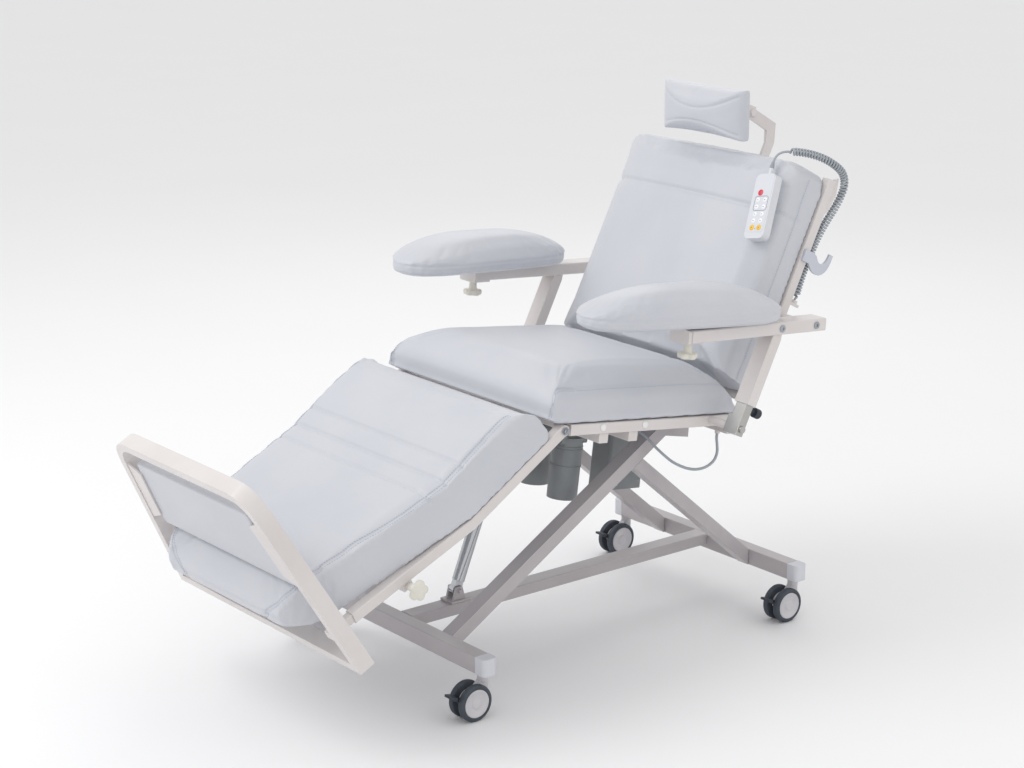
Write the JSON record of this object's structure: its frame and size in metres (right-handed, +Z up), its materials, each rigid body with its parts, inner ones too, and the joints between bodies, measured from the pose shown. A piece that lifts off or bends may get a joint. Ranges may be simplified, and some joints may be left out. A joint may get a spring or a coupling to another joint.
{
  "type": "treatment recliner chair",
  "caption": "Mobile treatment recliner on swivel castors with seat, back, leg and foot rests, padded arms, head pad, linear drives and a handset.",
  "frame": {"origin": "on the floor, under the middle of the overall box", "axes": "+Z up, +Y towards the head end, +X to the side that carries the handset and the foot knob"},
  "size_m": [0.8786, 1.6302, 1.2026],
  "materials": {
    "base_coat": "satin powder coat, light grey",
    "powder_coat": "satin powder coat, warm white",
    "cap_plastic": "moulded, satin",
    "upholstery": "coated artificial leather, fine grain",
    "tyre": "matt",
    "castor_shell": "moulded, satin",
    "pedal": "moulded, satin",
    "motor_grey": "moulded, fine texture",
    "ivory": "moulded, semi gloss",
    "stainless": "brushed",
    "hook_grey": "moulded, semi gloss",
    "cord_grey": "smooth sheath"
  },
  "bodies": {
    "root": {"front_beam": "base_coat", "rear_beam": "base_coat", "beam_cap_front_left": "cap_plastic", "beam_cap_front_right": "cap_plastic", "beam_cap_rear_left": "cap_plastic", "beam_cap_rear_right": "cap_plastic", "centre_spine": "base_coat", "actuator_clevis": "base_coat", "long_leg_left": "base_coat", "long_leg_right": "base_coat", "short_leg_left": "base_coat", "short_leg_right": "base_coat"},
    "seat": {"seat_frame": "powder_coat", "seat_cushion": "upholstery", "control_box": "motor_grey", "leg_drive": "motor_grey", "seat_cable": "cord_grey"},
    "leg_drive_rod": {"leg_drive_rod": "stainless"},
    "back_drive": {"back_drive": "motor_grey"},
    "back_drive_rod": {"back_drive_rod": "stainless"},
    "push_tube": {"tilt_push_tube": "base_coat"},
    "tilt_drive": {"tilt_drive": "motor_grey"},
    "leg_rest": {"leg_frame": "powder_coat", "leg_cushion": "upholstery"},
    "foot": {"foot_frame": "powder_coat", "footboard": "upholstery"},
    "foot_knob": {"foot_knob": "ivory"},
    "back": {"back_frame": "powder_coat", "back_cushion": "upholstery", "handset_hook": "hook_grey", "handset": "hook_grey", "handset_lead": "cord_grey", "handset_coil": "cord_grey"},
    "head_bar": {"headrest_bracket": "powder_coat"},
    "head_pad": {"headrest_arm": "powder_coat", "headrest_pad": "upholstery"},
    "arm_post_left": {"arm_bracket_left": "stainless", "arm_post_left": "powder_coat"},
    "arm_bar_left": {"arm_bar_left": "powder_coat"},
    "arm_pad_left": {"arm_pad_left": "upholstery"},
    "arm_knob_left": {"arm_knob_left": "ivory"},
    "arm_plunger_left": {"arm_plunger_left": "ivory"},
    "arm_post_right": {"arm_bracket_right": "stainless", "arm_post_right": "powder_coat"},
    "arm_bar_right": {"arm_bar_right": "powder_coat"},
    "arm_pad_right": {"arm_pad_right": "upholstery"},
    "arm_knob_right": {"arm_knob_right": "ivory"},
    "arm_plunger_right": {"arm_plunger_right": "ivory"},
    "castor_front_left_fork": {"castor_front_left_fork": "castor_shell"},
    "castor_front_left_wheels": {"castor_front_left_wheels": "tyre"},
    "castor_front_left_pedal": {"castor_front_left_pedal": "pedal"},
    "castor_front_right_fork": {"castor_front_right_fork": "castor_shell"},
    "castor_front_right_wheels": {"castor_front_right_wheels": "tyre"},
    "castor_front_right_pedal": {"castor_front_right_pedal": "pedal"},
    "castor_rear_left_fork": {"castor_rear_left_fork": "castor_shell"},
    "castor_rear_left_wheels": {"castor_rear_left_wheels": "tyre"},
    "castor_rear_left_pedal": {"castor_rear_left_pedal": "pedal"},
    "castor_rear_right_fork": {"castor_rear_right_fork": "castor_shell"},
    "castor_rear_right_wheels": {"castor_rear_right_wheels": "tyre"},
    "castor_rear_right_pedal": {"castor_rear_right_pedal": "pedal"}
  },
  "joints": [
    {"name": "seat_tilt", "type": "hinge", "parent": "root", "child": "seat", "pos_m": [0, 0.42098, 0.44783], "axis": [-1, 0, 0], "range_deg": [-6, 8]},
    {"name": "back_recline", "type": "hinge", "parent": "seat", "child": "back", "pos_m": [0, 0.46185, 0.51306], "axis": [-1, 0, 0], "range_deg": [-6, 45]},
    {"name": "leg_lift", "type": "hinge", "parent": "seat", "child": "leg_rest", "pos_m": [0, -0.05475, 0.573], "axis": [-1, 0, 0], "range_deg": [-10, 33]},
    {"name": "arm_post_left_link", "type": "hinge", "parent": "seat", "child": "arm_post_left", "pos_m": [0.369, 0.35791, 0.52179], "axis": [-1, 0, 0], "range_deg": [-6, 45]},
    {"name": "arm_bar_left_link", "type": "hinge", "parent": "arm_post_left", "child": "arm_bar_left", "pos_m": [0.369, 0.46396, 0.72993], "axis": [-1, 0, 0], "range_deg": [-45, 6]},
    {"name": "arm_pad_left_swivel", "type": "hinge", "parent": "arm_bar_left", "child": "arm_pad_left", "pos_m": [0.369, 0.21484, 0.75084], "axis": [0, 0.0837, 0.9965], "range_deg": [-12, 0]},
    {"name": "arm_knob_left_turn", "type": "hinge", "parent": "arm_bar_left", "child": "arm_knob_left", "pos_m": [0.369, 0.21484, 0.75084], "axis": [0, 0.0837, 0.9965], "continuous": true},
    {"name": "arm_plunger_left_push", "type": "slide", "parent": "arm_post_left", "child": "arm_plunger_left", "axis": [0, 0.891, -0.454], "range_m": [0, 0.008], "stiffness_N_per_m": 600},
    {"name": "arm_post_right_link", "type": "hinge", "parent": "seat", "child": "arm_post_right", "pos_m": [-0.369, 0.35791, 0.52179], "axis": [-1, 0, 0], "range_deg": [-6, 45]},
    {"name": "arm_bar_right_link", "type": "hinge", "parent": "arm_post_right", "child": "arm_bar_right", "pos_m": [-0.369, 0.46396, 0.72993], "axis": [-1, 0, 0], "range_deg": [-45, 6]},
    {"name": "arm_pad_right_swivel", "type": "hinge", "parent": "arm_bar_right", "child": "arm_pad_right", "pos_m": [-0.369, 0.21484, 0.75084], "axis": [0, 0.0837, 0.9965], "range_deg": [0, 12]},
    {"name": "arm_knob_right_turn", "type": "hinge", "parent": "arm_bar_right", "child": "arm_knob_right", "pos_m": [-0.369, 0.21484, 0.75084], "axis": [0, 0.0837, 0.9965], "continuous": true},
    {"name": "arm_plunger_right_push", "type": "slide", "parent": "arm_post_right", "child": "arm_plunger_right", "axis": [0, 0.891, -0.454], "range_m": [0, 0.008], "stiffness_N_per_m": 600},
    {"name": "push_tube_swing", "type": "hinge", "parent": "root", "child": "push_tube", "pos_m": [0, -0.12275, 0.157], "axis": [-1, 0, 0], "range_deg": [-3, 3]},
    {"name": "tilt_drive_stroke", "type": "slide", "parent": "push_tube", "child": "tilt_drive", "axis": [0, 0.377, 0.9262], "range_m": [-0.062, 0.062]},
    {"name": "leg_drive_stroke", "type": "slide", "parent": "seat", "child": "leg_drive_rod", "axis": [0, -0.9914, 0.1305], "range_m": [-0.0127, 0.0397]},
    {"name": "back_drive_swing", "type": "hinge", "parent": "seat", "child": "back_drive", "pos_m": [-0.072, 0.11906, 0.48355], "axis": [-1, 0, 0], "range_deg": [-0.42, 3.16]},
    {"name": "back_drive_stroke", "type": "slide", "parent": "back_drive", "child": "back_drive_rod", "axis": [0, 0.9958, -0.0918], "range_m": [-0.0554, 0.0083]},
    {"name": "foot_slide", "type": "slide", "parent": "leg_rest", "child": "foot", "axis": [0, -0.9135, -0.4067], "range_m": [0, 0.12]},
    {"name": "foot_knob_turn", "type": "hinge", "parent": "leg_rest", "child": "foot_knob", "pos_m": [0.278, -0.4569, 0.32595], "axis": [1, 0, 0], "continuous": true},
    {"name": "head_bar_slide", "type": "slide", "parent": "back", "child": "head_bar", "axis": [0, 0.454, 0.891], "range_m": [0, 0.06]},
    {"name": "head_pad_tilt", "type": "hinge", "parent": "head_bar", "child": "head_pad", "pos_m": [0, 0.73213, 1.12281], "axis": [-1, 0, 0], "range_deg": [-5, 20]},
    {"name": "castor_front_left_swivel", "type": "hinge", "parent": "root", "child": "castor_front_left_fork", "pos_m": [0.29, -0.27275, 0.08], "axis": [0, 0, 1], "continuous": true},
    {"name": "castor_front_left_roll", "type": "hinge", "parent": "castor_front_left_fork", "child": "castor_front_left_wheels", "pos_m": [0.29, -0.30475, 0.04], "axis": [1, 0, 0], "continuous": true},
    {"name": "castor_front_left_brake", "type": "hinge", "parent": "castor_front_left_fork", "child": "castor_front_left_pedal", "pos_m": [0.29, -0.33175, 0.05], "axis": [-1, 0, 0], "range_deg": [-8, 0]},
    {"name": "castor_front_right_swivel", "type": "hinge", "parent": "root", "child": "castor_front_right_fork", "pos_m": [-0.29, -0.27275, 0.08], "axis": [0, 0, 1], "continuous": true},
    {"name": "castor_front_right_roll", "type": "hinge", "parent": "castor_front_right_fork", "child": "castor_front_right_wheels", "pos_m": [-0.29, -0.30475, 0.04], "axis": [1, 0, 0], "continuous": true},
    {"name": "castor_front_right_brake", "type": "hinge", "parent": "castor_front_right_fork", "child": "castor_front_right_pedal", "pos_m": [-0.29, -0.33175, 0.05], "axis": [-1, 0, 0], "range_deg": [-8, 0]},
    {"name": "castor_rear_left_swivel", "type": "hinge", "parent": "root", "child": "castor_rear_left_fork", "pos_m": [0.29, 0.62825, 0.08], "axis": [0, 0, 1], "continuous": true},
    {"name": "castor_rear_left_roll", "type": "hinge", "parent": "castor_rear_left_fork", "child": "castor_rear_left_wheels", "pos_m": [0.29, 0.59625, 0.04], "axis": [1, 0, 0], "continuous": true},
    {"name": "castor_rear_left_brake", "type": "hinge", "parent": "castor_rear_left_fork", "child": "castor_rear_left_pedal", "pos_m": [0.29, 0.56925, 0.05], "axis": [-1, 0, 0], "range_deg": [-8, 0]},
    {"name": "castor_rear_right_swivel", "type": "hinge", "parent": "root", "child": "castor_rear_right_fork", "pos_m": [-0.29, 0.62825, 0.08], "axis": [0, 0, 1], "continuous": true},
    {"name": "castor_rear_right_roll", "type": "hinge", "parent": "castor_rear_right_fork", "child": "castor_rear_right_wheels", "pos_m": [-0.29, 0.59625, 0.04], "axis": [1, 0, 0], "continuous": true},
    {"name": "castor_rear_right_brake", "type": "hinge", "parent": "castor_rear_right_fork", "child": "castor_rear_right_pedal", "pos_m": [-0.29, 0.56925, 0.05], "axis": [-1, 0, 0], "range_deg": [-8, 0]}
  ],
  "couplings": [
    {"joint": "arm_post_left_link", "follows": "back_recline", "ratio": 1},
    {"joint": "arm_bar_left_link", "follows": "back_recline", "ratio": -1},
    {"joint": "arm_post_right_link", "follows": "back_recline", "ratio": 1},
    {"joint": "arm_bar_right_link", "follows": "back_recline", "ratio": -1},
    {"joint": "push_tube_swing", "follows": "seat_tilt", "ratio": -0.2312},
    {"joint": "tilt_drive_stroke", "follows": "seat_tilt", "m_per_rad": 0.3925},
    {"joint": "leg_drive_stroke", "follows": "leg_lift", "m_per_rad": 0.0672},
    {"joint": "back_drive_swing", "follows": "back_recline", "ratio": 0.0689},
    {"joint": "back_drive_stroke", "follows": "back_recline", "m_per_rad": -0.0692}
  ]
}
